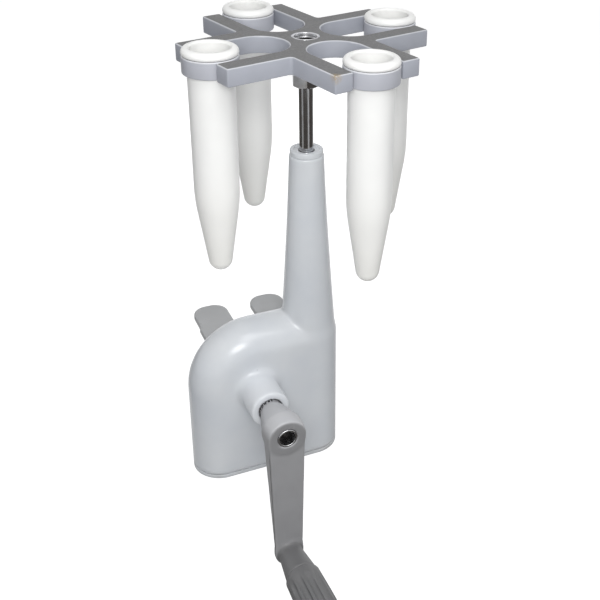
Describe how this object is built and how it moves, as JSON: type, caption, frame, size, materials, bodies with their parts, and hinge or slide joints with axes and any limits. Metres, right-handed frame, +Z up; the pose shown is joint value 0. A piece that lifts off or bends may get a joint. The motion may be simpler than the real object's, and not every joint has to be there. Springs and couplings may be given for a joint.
{
  "type": "hand centrifuge",
  "caption": "Hand-cranked table centrifuge: a gear case with a tall neck carries a cross-shaped rotor with swing-out tube buckets, and a clamp behind it grips a table edge.",
  "frame": {"origin": "on the underside of the clamp's upper jaw, which lies on the table top, in the middle of the jaw", "axes": "+Z up along the spindle, -Y towards the crank and the user, +Y over the table, +X towards the spindle"},
  "size_m": [0.1275, 0.1991, 0.2667],
  "materials": {
    "housing_paint": "smooth grey enamel on a casting",
    "bracket_paint": "grey enamel",
    "crank_plastic": "moulded, satin",
    "rotor_plastic": "moulded, fine grained top",
    "bucket_plastic": "glossy white",
    "spindle_chrome": "polished",
    "steel": "turned",
    "bronze": "sintered bearing bronze",
    "brass": "cut teeth"
  },
  "bodies": {
    "housing": {"gear_housing": "housing_paint", "base_plate": "housing_paint", "base_screws": "steel", "neck_cap": "housing_paint", "upper_bush": "bronze", "foot_bearing": "bronze", "thrust_ball": "steel", "crank_bush_front": "bronze", "crank_bush_rear": "bronze", "clamp_bracket": "bracket_paint", "bracket_screws": "steel"},
    "crank": {"crank_shaft": "steel", "worm_wheel": "brass", "wheel_pin": "steel", "crank_arm": "crank_plastic", "crank_sleeve": "steel", "crank_grub_screw": "steel", "handle_pin": "steel"},
    "grip": {"handle_grip": "crank_plastic"},
    "rotor": {"spindle": "spindle_chrome", "worm": "steel", "worm_pin": "steel", "rotor_nut": "steel", "rotor_cross": "rotor_plastic", "rotor_bush": "steel", "rotor_screw": "steel"},
    "bucket_1": {"carrier_ring_1": "rotor_plastic", "tube_bucket_1": "bucket_plastic"},
    "bucket_2": {"carrier_ring_2": "rotor_plastic", "tube_bucket_2": "bucket_plastic"},
    "bucket_3": {"carrier_ring_3": "rotor_plastic", "tube_bucket_3": "bucket_plastic"},
    "bucket_4": {"carrier_ring_4": "rotor_plastic", "tube_bucket_4": "bucket_plastic"},
    "clamp_pad": {"clamp_pad": "steel"},
    "clamp_screw": {"clamp_screw": "steel", "clamp_bar": "steel", "clamp_bar_caps": "crank_plastic"}
  },
  "joints": [
    {"name": "rotor_spin", "type": "hinge", "parent": "housing", "child": "rotor", "pos_m": [0.024, -0.026, 0.16625], "axis": [0, 0, 1], "continuous": true},
    {"name": "crank_turn", "type": "hinge", "parent": "housing", "child": "crank", "pos_m": [-0.0095, -0.026, -0.0095], "axis": [0, 1, 0], "continuous": true},
    {"name": "grip_spin", "type": "hinge", "parent": "crank", "child": "grip", "pos_m": [-0.0095, -0.103, -0.0835], "axis": [0, 1, 0], "continuous": true},
    {"name": "bucket_swing_1", "type": "hinge", "parent": "rotor", "child": "bucket_1", "pos_m": [0.07281, -0.01428, 0.16625], "axis": [0.2334, -0.9724, 0], "range_deg": [-15, 90]},
    {"name": "bucket_swing_2", "type": "hinge", "parent": "rotor", "child": "bucket_2", "pos_m": [0.01228, 0.02281, 0.16625], "axis": [0.9724, 0.2334, 0], "range_deg": [-15, 90]},
    {"name": "bucket_swing_3", "type": "hinge", "parent": "rotor", "child": "bucket_3", "pos_m": [-0.02481, -0.03772, 0.16625], "axis": [-0.2334, 0.9724, 0], "range_deg": [-15, 90]},
    {"name": "bucket_swing_4", "type": "hinge", "parent": "rotor", "child": "bucket_4", "pos_m": [0.03572, -0.07481, 0.16625], "axis": [-0.9724, -0.2334, 0], "range_deg": [-15, 90]},
    {"name": "clamp_lift", "type": "slide", "parent": "housing", "child": "clamp_pad", "axis": [0, 0, 1], "range_m": [-0.012, 0.012]},
    {"name": "clamp_turn", "type": "hinge", "parent": "clamp_pad", "child": "clamp_screw", "pos_m": [0, 0.01, -0.08], "axis": [0, 0, 1], "range_deg": [-1440, 1440]}
  ],
  "couplings": [
    {"joint": "crank_turn", "follows": "rotor_spin", "ratio": 0.11111},
    {"joint": "clamp_lift", "follows": "clamp_turn", "m_per_rad": 0.00047746}
  ]
}
